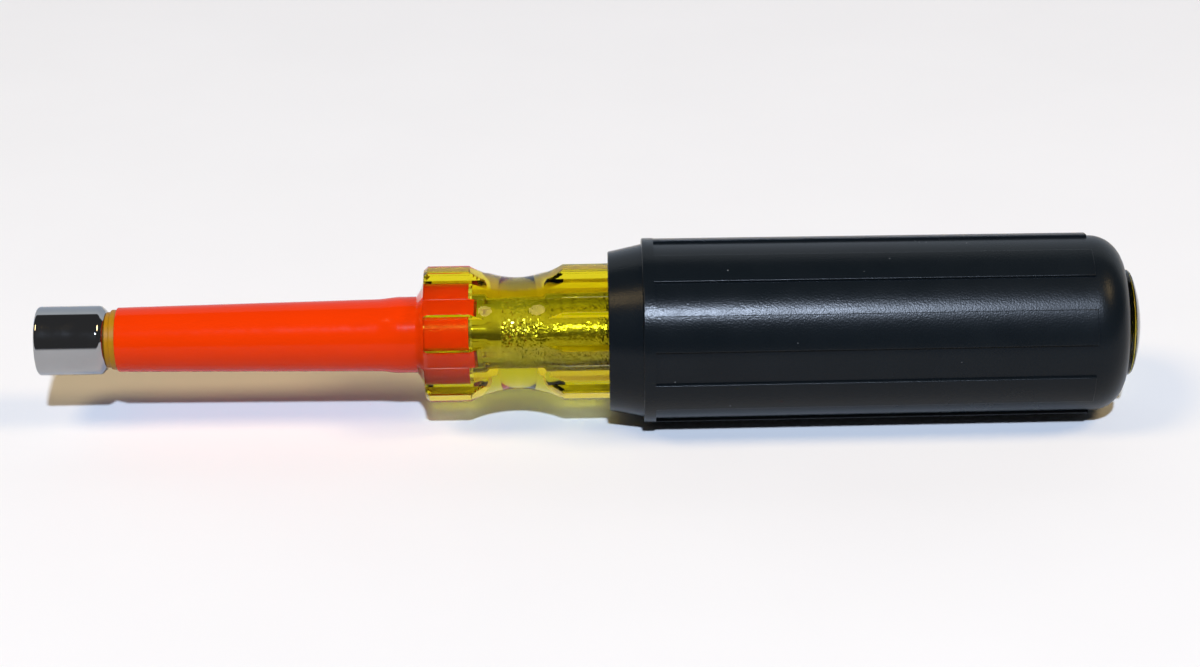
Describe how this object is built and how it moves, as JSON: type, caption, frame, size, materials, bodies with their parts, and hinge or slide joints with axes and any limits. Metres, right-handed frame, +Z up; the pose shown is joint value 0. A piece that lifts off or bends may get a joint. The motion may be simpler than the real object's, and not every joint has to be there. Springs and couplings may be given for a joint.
{
  "type": "nut driver",
  "caption": "Insulated hex nut driver with a chrome socket, an orange insulated hollow shaft, a fluted clear amber handle with a finger waist and a ribbed black cushion grip.",
  "frame": {"origin": "centre of the hex socket's mouth, on the tool's axis", "axes": "+X along the tool's axis from the mouth to the butt, +Z up with the tool lying on its grip"},
  "size_m": [0.2159, 0.0362, 0.0361],
  "materials": {
    "chrome_steel": "polished chrome plate",
    "shaft_steel": "plain steel with a rough, grooved tail",
    "yellow_insulation": "satin",
    "orange_insulation": "semi-gloss",
    "clear_resin": "clear, glossy",
    "amber_plastic": "see-through amber, glossy",
    "black_rubber": "fine-grained, semi-matt"
  },
  "bodies": {
    "root": {"hex_socket": "chrome_steel", "hollow_shaft": "shaft_steel", "inner_insulation": "yellow_insulation", "outer_insulation": "orange_insulation", "seal_bead": "clear_resin", "handle": "amber_plastic", "cushion_grip": "black_rubber"}
  },
  "joints": []
}
